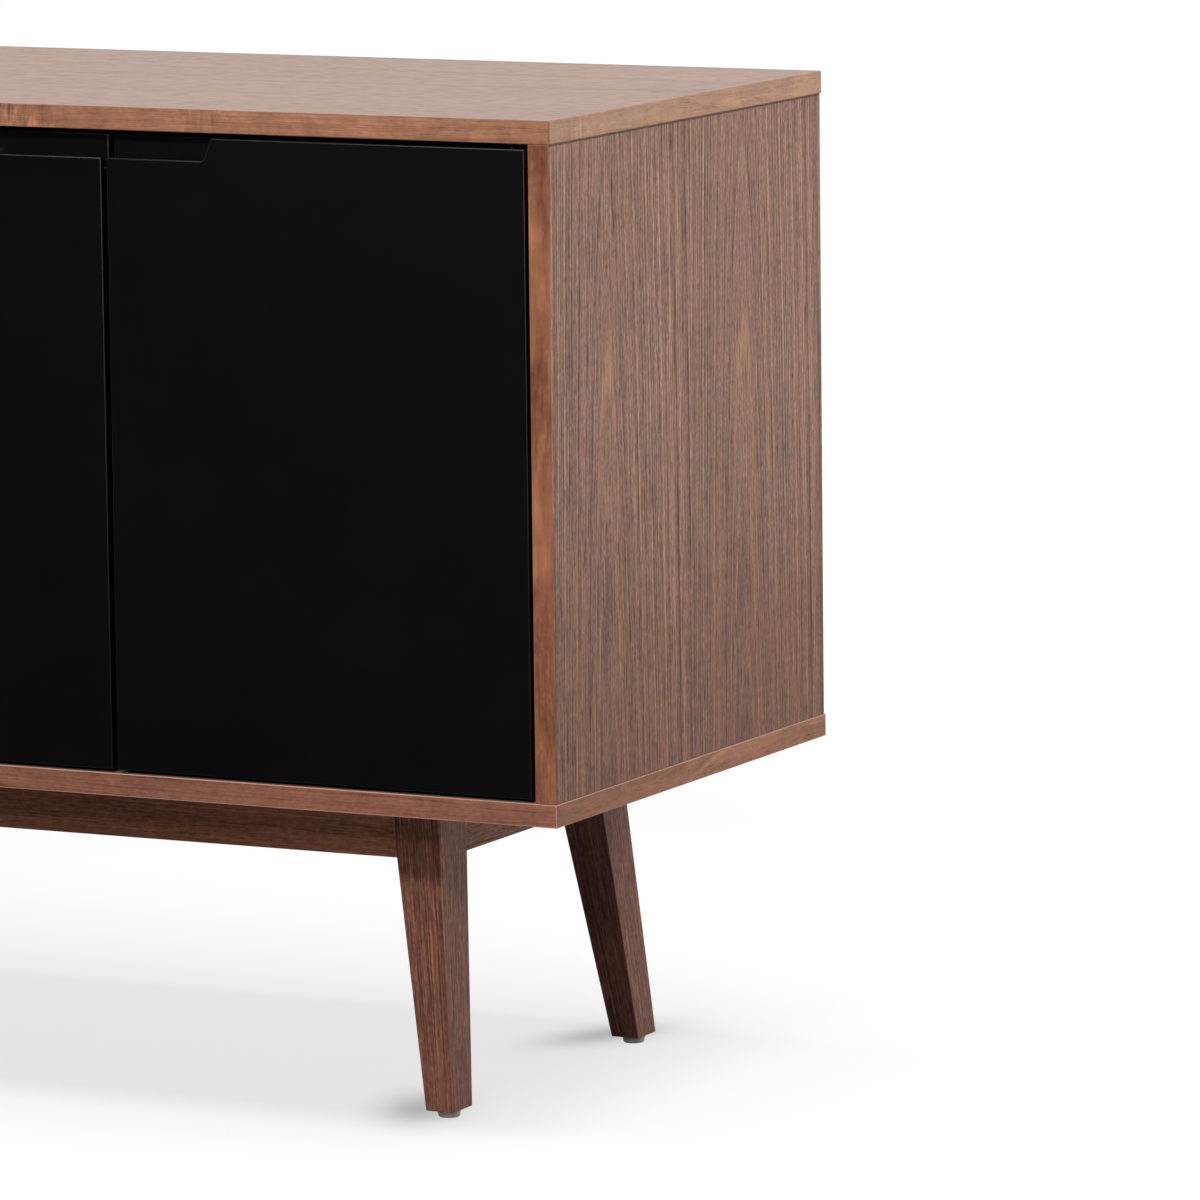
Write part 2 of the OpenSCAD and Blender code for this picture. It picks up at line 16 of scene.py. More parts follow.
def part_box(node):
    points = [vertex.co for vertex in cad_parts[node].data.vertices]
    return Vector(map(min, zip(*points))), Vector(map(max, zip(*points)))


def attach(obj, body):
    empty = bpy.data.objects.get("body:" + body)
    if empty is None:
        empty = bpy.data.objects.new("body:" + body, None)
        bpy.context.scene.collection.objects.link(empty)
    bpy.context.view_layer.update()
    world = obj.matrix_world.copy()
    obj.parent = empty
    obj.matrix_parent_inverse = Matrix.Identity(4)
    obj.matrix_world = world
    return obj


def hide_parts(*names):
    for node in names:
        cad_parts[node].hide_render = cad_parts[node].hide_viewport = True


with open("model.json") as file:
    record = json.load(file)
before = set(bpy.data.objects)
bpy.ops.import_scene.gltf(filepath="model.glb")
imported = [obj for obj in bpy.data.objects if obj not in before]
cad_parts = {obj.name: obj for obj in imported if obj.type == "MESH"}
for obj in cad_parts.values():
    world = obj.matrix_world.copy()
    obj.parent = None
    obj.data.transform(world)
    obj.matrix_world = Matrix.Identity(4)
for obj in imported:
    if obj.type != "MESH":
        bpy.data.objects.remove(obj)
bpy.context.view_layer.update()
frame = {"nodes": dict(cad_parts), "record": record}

MM = 0.001
DOORS = ("left_outer", "left_inner", "right_inner", "right_outer")
LEVELS = ("bottom", "middle", "top")
FRONT_Y, REAR_Y = (corner.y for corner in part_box("top_panel"))
SIDE_TOP_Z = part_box("side_panel_right")[1].z

# ---- Node trees --------------------------------------------------------------------


class Nodes:
    """A node tree, with short calls for the nodes that it is made of."""

    def __init__(self, tree):
        self.tree = tree
        tree.nodes.clear()

    def node(self, kind, inputs=(), **settings):
        made = self.tree.nodes.new("ShaderNode" + kind)
        for key, value in settings.items():
            setattr(made, key, value)
        for key, value in dict(inputs).items():
            self.put(value, made.inputs[key])
        return made

    def put(self, value, socket):
        if isinstance(value, bpy.types.NodeSocket):
            self.tree.links.new(value, socket)
        else:
            socket.default_value = value

    def math(self, operation, a, b=0.0, c=0.0):
        return self.node("Math", {0: a, 1: b, 2: c}, operation=operation).outputs[0]

    def times(self, a, b):
        return self.math("MULTIPLY", a, b)

    def point(self):
        """The point in the model's frame at rest, which every piece shares."""
        return self.node("TexCoord").outputs["Object"]

    def split(self, vector):
        """The three numbers of a vector."""
        return self.node("SeparateXYZ", {0: vector}).outputs

    def position(self):
        """The X, Y and Z of the point in the model's frame at rest."""
        return self.split(self.point())

    def vector(self, x, y, z):
        return self.node("CombineXYZ", {0: x, 1: y, 2: z}).outputs[0]

    def scaled(self, vector, x, y, z):
        made = self.node("VectorMath", {0: vector, 1: (x, y, z)}, operation="MULTIPLY")
        return made.outputs[0]

    def shifted(self, vector, x, y, z):
        made = self.node("VectorMath", {0: vector, 1: self.vector(x, y, z)}, operation="ADD")
        return made.outputs[0]

    def noise(self, vector, detail=2.0, roughness=0.5, distortion=0.0):
        inputs = {"Vector": vector, "Scale": 1.0, "Detail": detail,
                  "Roughness": roughness, "Distortion": distortion}
        return self.node("TexNoise", inputs).outputs["Fac"]

    def noise_along(self, w, detail=2.0, roughness=0.5):
        """Noise of one number, for bands that follow a distance."""
        inputs = {"W": w, "Scale": 1.0, "Detail": detail, "Roughness": roughness}
        return self.node("TexNoise", inputs, noise_dimensions="1D").outputs["Fac"]

    def spread(self, value, low, high, to_low=0.0, to_high=1.0, smooth=False):
        inputs = {"Value": value, "From Min": low, "From Max": high,
                  "To Min": to_low, "To Max": to_high}
        kind = "SMOOTHSTEP" if smooth else "LINEAR"
        made = self.node("MapRange", inputs, interpolation_type=kind, clamp=True)
        return made.outputs[0]

    def ramp(self, value, stops):
        made = self.node("ValToRGB", {0: value})
        elements = made.color_ramp.elements
        while len(elements) < len(stops):
            elements.new(0.5)
        for element, (at, colour) in zip(elements, stops):
            element.position = at
            element.color = (*colour, 1.0)
        return made.outputs[0]

    def mix(self, kind, factor, a, b):
        """Mixes two colours. Of the node's many sockets, 6 and 7 are the colours A and B."""
        made = self.node("Mix", data_type="RGBA", blend_type=kind)
        self.put(factor, made.inputs[0])
        for colour, socket in ((a, made.inputs[6]), (b, made.inputs[7])):
            fixed = not isinstance(colour, bpy.types.NodeSocket)
            self.put((*colour, 1.0) if fixed else colour, socket)
        return made.outputs[2]

    def grey(self, value):
        """A number as a colour, for multiplying."""
        return self.node("CombineColor", {0: value, 1: value, 2: value}).outputs[0]


class Finish(Nodes):
    """One material and its node tree."""

    def __init__(self, name):
        self.material = bpy.data.materials.new(name + "_finish")
        self.material.use_nodes = True
        super().__init__(self.material.node_tree)

    def arris(self):
        """1 on the softened edges of a piece, and 0 elsewhere."""
        return self.node("Attribute", attribute_name="arris").outputs["Fac"]

    def surface(self, colour, roughness, height=None, lift=0.0, glow=None, **uniform):
        """Ends the tree in a Principled shader. lift is how far the bump's height reaches."""
        shader = self.node("BsdfPrincipled")
        self.put(colour, shader.inputs["Base Color"])
        self.put(roughness, shader.inputs["Roughness"])
        if glow is not None:
            self.put(glow, shader.inputs["Emission Color"])
        for key, value in uniform.items():
            shader.inputs[key.replace("_", " ")].default_value = value
        if height is not None:
            bump = self.node("Bump", {"Height": height, "Strength": 1.0, "Distance": lift})
            self.put(bump.outputs[0], shader.inputs["Normal"])
        output = self.node("OutputMaterial")
        self.put(shader.outputs[0], output.inputs["Surface"])
        return self.material


# ---- Walnut --------------------------------------------------------------------------

def five(*colours):
    """Five colours against the grain value, from the darkest wood to the lightest."""
    return list(zip((0.0, 0.3, 0.5, 0.7, 1.0), colours))


SIDE_STOPS = five((0.105, 0.054, 0.042), (0.195, 0.103, 0.078), (0.262, 0.141, 0.097),
                  (0.342, 0.190, 0.122), (0.500, 0.300, 0.180))
TOP_STOPS = five((0.135, 0.076, 0.056), (0.192, 0.110, 0.080), (0.226, 0.132, 0.095),
                 (0.262, 0.155, 0.110), (0.350, 0.210, 0.148))

# What one walnut finish can change. grain names the axes along, across and through the wood, or
# axis gives a leaning line instead. Leaves of veneer are "leaf" wide from "start" on, each slid
# along by "slip", with their rings' middle "heart" from one edge; without leaves, "start" and
# "heart" place it across and through the wood. The rings run about a line "depth" behind the
# face at "level", leaning by "slope". rings, lines and fibre are repeats per metre, and parts is
# how strongly each of them shows. wander and drift are how far the rings stray. foot is painted
# shade that darkens one end, knot and figure are local, curl is everywhere.
VENEER = {
    "grain": "zyx", "axis": None, "leaf": 0.2315, "start": -0.2325, "heart": 0.0915,
    "slip": -0.004, "depth": 0.040, "level": 0.576, "slope": 0.036, "rings": 120.0,
    "lines": 430.0, "fibre": (14.0, 700.0), "parts": (1.2, 1.6, 1.15), "wander": 0.0016,
    "drift": None, "grit": 0.6, "dark_lines": 0.0, "seed": 0.0, "stops": SIDE_STOPS,
    "amber": (0.40, 0.205, 0.105), "amber_part": 0.22, "amber_size": (3.1, 30.0),
    "tone": 0.10, "foot": None, "curl": 0.0, "figure": (), "flame": 0.0, "flame_ring": None,
    "knot": None, "pores": 0.42, "rough": 0.44, "worn": None, "worn_part": (0.2, 0.5),
    "edge_line": None,
}
KNOT_COLOUR = (0.055, 0.038, 0.036)
# The colour of dark joint lines, and of the painted shade under the top panel's lip
JOINT_AND_SHADE_COLOUR = (0.025, 0.012, 0.008)
# A leg's wood is shifted by this much to its own side and by twice this to the front or the
# rear, so that no two legs have the same figure.
LEG_SHIFT = 0.013


def axes(finish, style):
    """The point's coordinates along, across and through the wood.

    grain names them, as in zyx. With an axis, the wood follows a leaning line instead, the
    same on both sides of the middle in X and Y.
    """
    position = finish.position()
    if not style["axis"]:
        return [position["xyz".index(letter)] for letter in style["grain"]]
    (top, foot) = style["axis"]
    found = [position[2]]
    for i in (0, 1):
        lean = (abs(top[i]) - abs(foot[i])) / (top[2] - foot[2])
        line = finish.math("MULTIPLY_ADD", position[2], lean, abs(foot[i]) - lean * foot[2])
        out = finish.math("ABSOLUTE", position[i])
        turned = finish.math("SIGN", position[i])
        found.append(finish.math("MULTIPLY_ADD", turned, LEG_SHIFT * (1 + i),
                                 finish.math("SUBTRACT", out, line)))
    return found


def leaf_coordinates(finish, along, across, style):
    """Where a point is in its leaf of veneer. Leaves are slip matched: each repeats the last."""
    moved = finish.math("SUBTRACT", across, style["start"])
    number = finish.math("FLOOR", finish.math("DIVIDE", moved, style["leaf"]))
    inside = finish.math("MULTIPLY_ADD", number, -style["leaf"], moved)
    across = finish.math("SUBTRACT", inside, style["heart"])
    along = finish.math("MULTIPLY_ADD", number, style["slip"], along)
    return along, across, number


def ring_distance(finish, along, across, depth, style):
    """How far a point is from the heart of its tree, with the wander of real growth."""
    slant = finish.math("MULTIPLY_ADD", along, style["slope"],
                        style["depth"] - style["slope"] * style["level"])
    if depth is not None:
        slant = finish.math("ADD", slant, depth)
    squares = finish.math("ADD", finish.math("POWER", across, 2.0),
                          finish.math("POWER", slant, 2.0))
    distance = finish.math("SQRT", squares)
    place = finish.vector(finish.times(along, 5.0),
                          finish.times(across, 22.0), style["seed"])
    wander = finish.math("SUBTRACT", finish.noise(place, 3.0, 0.55), 0.5)
    return finish.math("MULTIPLY_ADD", wander, 2 * style["wander"], distance)


def bell(finish, *offsets):
    """A smooth spot. Each offset is a value, where its middle is and how wide the spot is."""
    total = 0.0
    for value, middle, width in offsets:
        away = finish.math("DIVIDE", finish.math("SUBTRACT", value, middle), width)
        total = finish.math("ADD", finish.math("POWER", away, 2.0), total)
    return finish.math("EXPONENT", finish.times(total, -1.0))


def fading(finish, along, distance, layer):
    """How strongly the thin lines show from place to place."""
    where = finish.vector(finish.times(along, 14.0),
                          finish.times(distance, 150.0), layer)
    return finish.spread(finish.noise(where, 2.0, 0.5), 0.35, 0.65, 0.15, 1.0)


def calmness(finish, place):
    """Low near the heart of a leaf, where the arches are wide and faint."""
    across = finish.math("ABSOLUTE", finish.split(place)[1])
    return finish.spread(across, 0.008, 0.034, 0.35, 1.0)


def grain_value(finish, distance, along, place, layer, style):
    """Growth bands, thin lines that come and go, fibres and grit, as one number about 0.5."""
    bands = finish.noise_along(finish.times(distance, style["rings"]), 3.0, 0.6)
    lines = finish.noise_along(finish.times(distance, style["lines"]), 2.0, 0.6)
    slow, fast = style["fibre"]
    moved = finish.shifted(finish.scaled(place, slow, fast, fast), 0.0, 0.0, layer)
    fibres = finish.noise(moved, 3.0, 0.6)
    fade = fading(finish, along, distance, layer)
    calm = 1.0
    if style["leaf"]:
        calm = calmness(finish, place)
        fade = finish.times(fade, calm)
    total = 0.5
    for part, field, by in zip(style["parts"], (bands, lines, fibres), (calm, fade, 1.0)):
        swing = finish.times(finish.math("SUBTRACT", field, 0.5), part)
        total = finish.math("ADD", finish.times(swing, by), total)
    grit = finish.noise(finish.scaled(moved, 230.0 / slow, 420.0 / fast, 420.0 / fast), 2.0)
    swing = finish.math("SUBTRACT", grit, 0.5)
    total = finish.math("MULTIPLY_ADD", swing, style["grit"], total)
    if style["dark_lines"]:
        fine = finish.noise_along(finish.times(distance, 1.4 * style["lines"]), 1.0)
        fine = finish.times(finish.spread(fine, 0.54, 0.68), fade)
        total = finish.math("MULTIPLY_ADD", fine, -style["dark_lines"], total)
    return total, fibres


def ring_place(finish, style):
    """The point's coordinates in its wood, its distance from the heart and its leaf's number."""
    along, across, depth = axes(finish, style)
    number = 0.0
    if style["leaf"]:
        along, across, number = leaf_coordinates(finish, along, across, style)
        distance = ring_distance(finish, along, across, None, style)
    else:
        across = finish.math("SUBTRACT", across, style["start"])
        depth = finish.math("SUBTRACT", depth, style["heart"])
        distance = ring_distance(finish, along, across, depth, style)
    if style["drift"]:
        swing, pitch = style["drift"]
        wave = finish.noise_along(finish.times(along, 1.0 / pitch), 1.0)
        distance = finish.math("MULTIPLY_ADD", wave, swing, distance)
    return along, across, depth, distance, number


def worn_arris(finish, colour, tone, style):
    """Arrises tinted another colour, more in some places than in others: rubbed wear, and on the
    bottom panel's bands a painted highlight.
    """
    rubbed = finish.spread(tone, 0.35, 0.65, *style["worn_part"])
    worn = finish.times(finish.arris(), rubbed)
    pale = style["worn"] or [1.15 * part for part in style["stops"][3][1]]
    return finish.mix("MIX", worn, colour, pale)


def walnut(name, **changes):
    """Walnut with growth bands, fibres, pores, slow changes of tone and rubbed arrises; some
    boards also carry painted light and shade.
    """
    style = {**VENEER, **changes}
    finish = Finish(name)
    along, across, depth, distance, number = ring_place(finish, style)
    layer = finish.math("MULTIPLY_ADD", number, 0.37, style["seed"])
    place = finish.vector(along, across, depth)
    value, fibres = grain_value(finish, distance, along, place, layer, style)
    colour = finish.ramp(value, style["stops"])
    colour = flame(finish, colour, distance, along, style)
    colour, tone = slow_tone(finish, colour, place, style)
    colour = knot(finish, colour, along, across, style)
    pores = pore_mask(finish, place, layer)
    dark = finish.math("MULTIPLY_ADD", pores, -style["pores"], 1.0)
    colour = finish.mix("MULTIPLY", 1.0, colour, finish.grey(dark))
    colour = worn_arris(finish, colour, tone, style)
    colour = edge_line(finish, colour, style)
    rough = finish.math("MULTIPLY_ADD", value, -0.08, style["rough"] + 0.04)
    rough = finish.math("MULTIPLY_ADD", pores, 0.18, rough)
    height = finish.math("MULTIPLY_ADD", pores, -1.0, finish.times(fibres, 0.35))
    return finish.surface(colour, rough, height, 0.00012, IOR=1.5, Specular_IOR_Level=0.25)


def flame(finish, colour, distance, along, style):
    """Amber light along one growth ring, as in the tall arches of a crown cut leaf."""
    if not style["flame"]:
        return colour
    at = style["flame_ring"] or style["depth"]
    ring = bell(finish, (distance, at, 0.0010))
    break_up = finish.noise_along(finish.times(along, 14.0), 2.0)
    amount = finish.times(ring, finish.spread(break_up, 0.35, 0.6, 0.3, 1.0))
    amount = finish.times(amount, style["flame"])
    return finish.mix("MIX", amount, colour, style["amber"])


def knot(finish, colour, along, across, style):
    """A pin knot in each leaf, with a dark stain above it."""
    if not style["knot"]:
        return colour
    side, level = style["knot"]
    eye = bell(finish, (across, side, 0.0019), (along, level, 0.005))
    stain = bell(finish, (across, side - 0.001, 0.0042), (along, level + 0.02, 0.024))
    amount = finish.math("MULTIPLY_ADD", stain, 0.35, finish.times(eye, 0.6))
    return finish.mix("MIX", amount, colour, KNOT_COLOUR)


def slow_tone(finish, colour, place, style):
    """Slow changes over the board, between its own colour and amber, light and dark, and painted
    shade that darkens one end.
    """
    tone = finish.noise(finish.scaled(place, 2.2, 16.0, 16.0), 2.0, 0.5)
    slow, fast = style["amber_size"]
    amber = finish.noise(finish.scaled(place, slow, fast, fast), 3.0, 0.6)
    amber = finish.times(finish.spread(amber, 0.48, 0.72), style["amber_part"])
    colour = finish.mix("MIX", amber, colour, style["amber"])
    shade = finish.spread(tone, 0.3, 0.7, 1.0 - style["tone"], 1.0 + style["tone"])
    # Painted shade: the board is darker towards one end, standing in for uneven light
    if style["foot"]:
        low, high, dark = style["foot"]
        rise = finish.spread(finish.split(place)[0], low, high, smooth=True)
        colour = finish.mix("MULTIPLY", 1.0, colour,
                            finish.ramp(rise, [(0.0, dark), (1.0, (1.0, 1.0, 1.0))]))
    if style["curl"]:
        curl = finish.noise(finish.scaled(place, 34.0, 26.0, 26.0), 3.0, 0.6, 0.6)
        by = finish.spread(curl, 0.3, 0.7, 1.0 - style["curl"], 1.0 + style["curl"])
        shade = finish.times(shade, by)
    for spot in style["figure"]:
        shade = finish.times(shade, figure(finish, place, spot))
    return finish.mix("MULTIPLY", 1.0, colour, finish.grey(shade)), tone


def figure(finish, place, spot):
    """Strong crossways figure in one stretch of a board, as where a branch has grown."""
    middle, width, depth = spot
    near = bell(finish, (finish.split(place)[0], middle, width))
    curl = finish.noise(finish.scaled(place, 110.0, 18.0, 18.0), 3.0, 0.6, 0.8)
    swing = finish.times(finish.spread(curl, 0.3, 0.7, -depth, depth), near)
    return finish.math("ADD", swing, 1.0)


def pore_mask(finish, place, layer):
    """Short fine pores along the grain."""
    moved = finish.shifted(finish.scaled(place, 48.0, 1000.0, 1000.0), 3.0, layer, layer)
    return finish.spread(finish.noise(moved, 1.0, 0.5), 0.58, 0.68)


def edge_line(finish, colour, style):
    """Thin dark lines on planes, for joints and for the painted shade under the top panel's lip:
    style names their axis, their places and the half width.
    """
    if not style["edge_line"]:
        return colour
    letter, places, half = style["edge_line"]
    at = finish.position()["xyz".index(letter)]
    total = 0.0
    for place in places:
        away = finish.math("ABSOLUTE", finish.math("SUBTRACT", at, place))
        line = finish.spread(away, 0.6 * half, 1.2 * half, 1.0, 0.0)
        total = finish.math("MAXIMUM", total, line)
    amount = finish.times(total, 0.9)
    return finish.mix("MIX", amount, colour, JOINT_AND_SHADE_COLOUR)


# ---- Other finishes -------------------------------------------------------------------


def black_lacquer():
    """Satin black lacquer: a faint bloom, a fine orange peel and grey, rubbed arrises."""
    finish = Finish("black_lacquer")
    place = finish.point()
    bloom = finish.noise(finish.scaled(place, 9.0, 9.0, 9.0), 4.0, 0.6)
    peel = finish.noise(finish.scaled(place, 420.0, 420.0, 420.0), 2.0, 0.5)
    speck = finish.noise(finish.scaled(place, 1500.0, 1500.0, 1500.0), 1.0, 0.5)
    colour = finish.ramp(bloom, [(0.3, (0.0012, 0.0012, 0.0013)),
                                 (0.7, (0.0018, 0.0018, 0.0018))])
    worn = finish.times(finish.arris(), finish.spread(bloom, 0.4, 0.6, 0.3, 0.8))
    colour = finish.mix("MIX", worn, colour, (0.009, 0.009, 0.0095))
    rough = finish.spread(speck, 0.3, 0.7, 0.27, 0.33)
    rough = finish.math("MULTIPLY_ADD", bloom, 0.05, rough)
    rough = finish.math("MULTIPLY_ADD", finish.arris(), 0.15, rough)
    return finish.surface(colour, rough, peel, 0.00002, IOR=1.47, Specular_IOR_Level=0.5)


def birch_ply(name, streak_size, fleck_size):
    """Birch plywood: pale faces with faint long streaks. The sizes are repeats per metre."""
    finish = Finish(name)
    place = finish.point()
    streak = finish.noise(finish.scaled(place, *streak_size), 3.0, 0.5)
    fleck = finish.noise(finish.scaled(place, *fleck_size), 1.0, 0.5)
    colour = finish.ramp(streak, [(0.3, (0.60, 0.44, 0.28)), (0.5, (0.66, 0.50, 0.33)),
                                  (0.7, (0.71, 0.56, 0.39))])
    dark = finish.spread(fleck, 0.6, 0.72, 1.0, 0.88)
    colour = finish.mix("MULTIPLY", 1.0, colour, finish.grey(dark))
    rough = finish.spread(streak, 0.3, 0.7, 0.5, 0.4)
    return finish.surface(colour, rough, streak, 0.00006, IOR=1.48)


def ply_edge(name, axis):
    """The edge of a plywood board: light and dark layers across its thickness."""
    finish = Finish(name)
    position = finish.position()
    across = finish.times(position["xyz".index(axis)], 1.0 / 0.0014)
    layer = finish.math("PINGPONG", across, 1.0)
    place = finish.point()
    fuzz = finish.noise(finish.scaled(place, 400.0, 400.0, 400.0), 3.0, 0.6)
    layer = finish.math("MULTIPLY_ADD", fuzz, 0.5, layer)
    colour = finish.ramp(finish.spread(layer, 0.55, 0.95), [
        (0.0, (0.62, 0.45, 0.29)), (0.45, (0.60, 0.43, 0.27)), (1.0, (0.36, 0.22, 0.12))])
    rough = finish.spread(fuzz, 0.3, 0.7, 0.5, 0.62)
    return finish.surface(colour, rough, layer, 0.00008, IOR=1.48)


def beech():
    """Plain beech with its short dark rays."""
    finish = Finish("beech")
    place = finish.point()
    streak = finish.noise(finish.scaled(place, 18.0, 220.0, 220.0), 4.0, 0.6)
    rays = finish.noise(finish.scaled(place, 160.0, 1100.0, 1100.0), 1.0, 0.5)
    colour = finish.ramp(streak, [(0.3, (0.46, 0.27, 0.15)), (0.7, (0.62, 0.40, 0.25))])
    colour = finish.mix("MULTIPLY", 1.0, colour,
                        finish.grey(finish.spread(rays, 0.6, 0.7, 1.0, 0.7)))
    rough = finish.spread(streak, 0.3, 0.7, 0.62, 0.5)
    return finish.surface(colour, rough, streak, 0.0001, IOR=1.48)


def zinc_steel(name, dark, light, rough):
    """Zinc plate: drawn lines, a slight mottle and a little dullness at the arrises."""
    finish = Finish(name)
    place = finish.point()
    lines = finish.noise(finish.scaled(place, 300.0, 12.0, 1400.0), 2.0, 0.6)
    mottle = finish.noise(finish.scaled(place, 130.0, 130.0, 130.0), 4.0, 0.6)
    colour = finish.ramp(mottle, [(0.3, dark), (0.7, light)])
    colour = finish.mix("MULTIPLY", finish.times(finish.arris(), 0.5), colour,
                        (0.7, 0.7, 0.72))
    rough = finish.spread(lines, 0.3, 0.7, rough - 0.08, rough + 0.08)
    return finish.surface(colour, rough, lines, 0.00002, Metallic=1.0)


def moulded(name, dark, light, rough):
    """Moulded plastic with a fine spark eroded grain and rubbed arrises."""
    finish = Finish(name)
    place = finish.point()
    grain = finish.noise(finish.scaled(place, 2200.0, 2200.0, 2200.0), 2.0, 0.6)
    cloud = finish.noise(finish.scaled(place, 60.0, 60.0, 60.0), 3.0, 0.5)
    colour = finish.ramp(cloud, [(0.3, dark), (0.7, light)])
    worn = finish.times(finish.arris(), 0.35)
    colour = finish.mix("MIX", worn, colour, [min(1.0, 1.6 * c) for c in light])
    roughness = finish.spread(grain, 0.3, 0.7, rough - 0.06, rough + 0.06)
    return finish.surface(colour, roughness, grain, 0.00004, IOR=1.5)


BAND_STOPS = five((0.205, 0.084, 0.044), (0.272, 0.118, 0.064), (0.306, 0.138, 0.076),
                  (0.340, 0.158, 0.090), (0.420, 0.208, 0.122))
END_STOPS = five((0.265, 0.136, 0.079), (0.344, 0.186, 0.111), (0.378, 0.209, 0.126),
                 (0.406, 0.229, 0.140), (0.475, 0.282, 0.175))
LOW_STOPS = five((0.145, 0.053, 0.030), (0.212, 0.082, 0.048), (0.250, 0.099, 0.059),
                 (0.284, 0.116, 0.070), (0.360, 0.164, 0.100))
STILE_STOPS = five((0.130, 0.042, 0.019), (0.190, 0.066, 0.032), (0.223, 0.080, 0.040),
                   (0.258, 0.096, 0.049), (0.335, 0.138, 0.074))
LOW_END_STOPS = five((0.160, 0.062, 0.034), (0.236, 0.096, 0.052), (0.278, 0.116, 0.065),
                     (0.318, 0.138, 0.078), (0.400, 0.194, 0.112))
LEG_STOPS = five((0.070, 0.024, 0.014), (0.120, 0.044, 0.027), (0.159, 0.060, 0.039),
                 (0.200, 0.080, 0.051), (0.320, 0.136, 0.080))
FRAME_STOPS = five((0.130, 0.042, 0.021), (0.205, 0.072, 0.037), (0.260, 0.096, 0.050),
                   (0.315, 0.121, 0.066), (0.450, 0.188, 0.104))

BAND = {"stops": BAND_STOPS, "leaf": None, "depth": 0.03, "heart": 0.0, "start": 0.48,
        "level": 0.0, "slope": 0.012, "rings": 200.0, "lines": 600.0, "wander": 0.0015,
        "parts": (0.8, 1.4, 1.0), "amber_part": 0.2, "pores": 0.12, "curl": 0.14,
        "amber": (0.46, 0.20, 0.10), "grit": 0.9, "fibre": (20.0, 700.0),
        "drift": (0.012, 0.25), "amber_size": (8.0, 40.0)}
SOLID = {"leaf": None, "rings": 260.0, "lines": 800.0, "wander": 0.0006, "pores": 0.4,
         "depth": 0.0, "parts": (0.7, 2.3, 1.8), "fibre": (20.0, 900.0), "grit": 1.0}
LEG = {**SOLID, "seed": 8.0, "start": 0.3, "heart": -0.3, "slope": 0.0, "level": 0.0,
       "flame": 0.3, "flame_ring": 0.4055, "amber": (0.32, 0.13, 0.07)}


def painted_light_and_shade(stops, by):
    """The same colours, all scaled by one factor: a lighter copy as painted light, a darker one
    as painted shade.
    """
    return [(at, tuple(by * part for part in colour)) for at, colour in stops]


def leg_line(node):
    """The middles of a leg's top and foot."""
    points = [v.co for v in frame["nodes"][node].data.vertices]
    ends = []
    for level in (max(p.z for p in points), min(p.z for p in points)):
        at = [p for p in points if abs(p.z - level) < 1e-5]
        low = [min(p[i] for p in at) for i in range(3)]
        high = [max(p[i] for p in at) for i in range(3)]
        ends.append([(a + b) / 2 for a, b in zip(low, high)])
    return ends


def veneers():
    """The walnut of the panels' faces."""
    # A dark joint line with painted shade, where the side panel meets the top panel's underside
    joint_and_painted_shade = ("z", (SIDE_TOP_Z,), 1.5 * MM)
    return [
        # The side panel is darker towards its foot, as painted shade
        walnut("walnut_side", flame=0.6, knot=(0.072, 0.4705), edge_line=joint_and_painted_shade,
               dark_lines=0.6, pores=0.5, parts=(1.0, 2.1, 1.2), grit=1.0,
               foot=(0.22, 0.55, (0.72, 0.61, 0.54))),
        walnut("walnut_top", grain="xyz", grit=0.2, leaf=0.465, heart=0.30, depth=0.09,
               level=0.1, slope=0.03, slip=0.12, seed=4.0, tone=0.04, amber_part=0.12,
               stops=TOP_STOPS, parts=(0.5, 0.7, 0.6), rough=0.34, pores=0.25,
               worn=(0.20, 0.10, 0.07)),
        walnut("walnut_inside", leaf=0.15, seed=9.0, slip=0.2, heart=0.06),
        walnut("walnut_shelf", grain="xyz", leaf=0.14, seed=12.0, slip=0.2, heart=0.06),
        walnut("walnut_back", grain="zxy", leaf=0.21, seed=15.0, slip=0.15, heart=0.1,
               start=-0.9, rough=0.55),
    ]


def bands():
    """The walnut of the panels' edges. A seam shows where a front band meets an end band."""
    seam = ("y", (FRONT_Y + 1.1 * MM, REAR_Y - 1.1 * MM), 0.28 * MM)
    return [
        walnut("band_front", grain="xzy", seed=2.0, worn=(0.16, 0.058, 0.034),
               figure=[(0.450, 0.028, 0.8), (0.615, 0.018, 0.35)], **{**BAND, "curl": 0.2}),
        walnut("band_end", grain="yzx", seed=3.0, edge_line=seam,
               figure=[(FRONT_Y + 0.052, 0.018, 0.45)], worn=(0.27, 0.13, 0.08),
               **{**BAND, "stops": END_STOPS, "amber_part": 0.1, "amber": (0.5, 0.3, 0.18)}),
        # The pale arris tint is a painted highlight, and the darkening away from the right end
        # is painted shade
        walnut("band_low", grain="xzy", seed=5.0, worn=(0.50, 0.27, 0.20),
               worn_part=(0.6, 0.9), foot=(0.45, 0.85, (0.78, 0.77, 0.78)),
               **{**BAND, "stops": LOW_STOPS}),
        # The pale arris tint is a painted highlight, and the darkening towards the front is
        # painted shade
        walnut("band_low_end", grain="yzx", seed=6.0, edge_line=seam,
               worn=(0.46, 0.26, 0.18), worn_part=(0.4, 0.8),
               foot=(-0.2, 0.2, (0.76, 0.75, 0.72)),
               **{**BAND, "stops": LOW_END_STOPS, "amber_part": 0.5}),
        walnut("band_upright", grain="zxy", seed=7.0,
               **{**BAND, "stops": STILE_STOPS, "start": 0.86, "amber_part": 0.75,
                  "amber": (0.42, 0.17, 0.08), "curl": 0.2}),
    ]


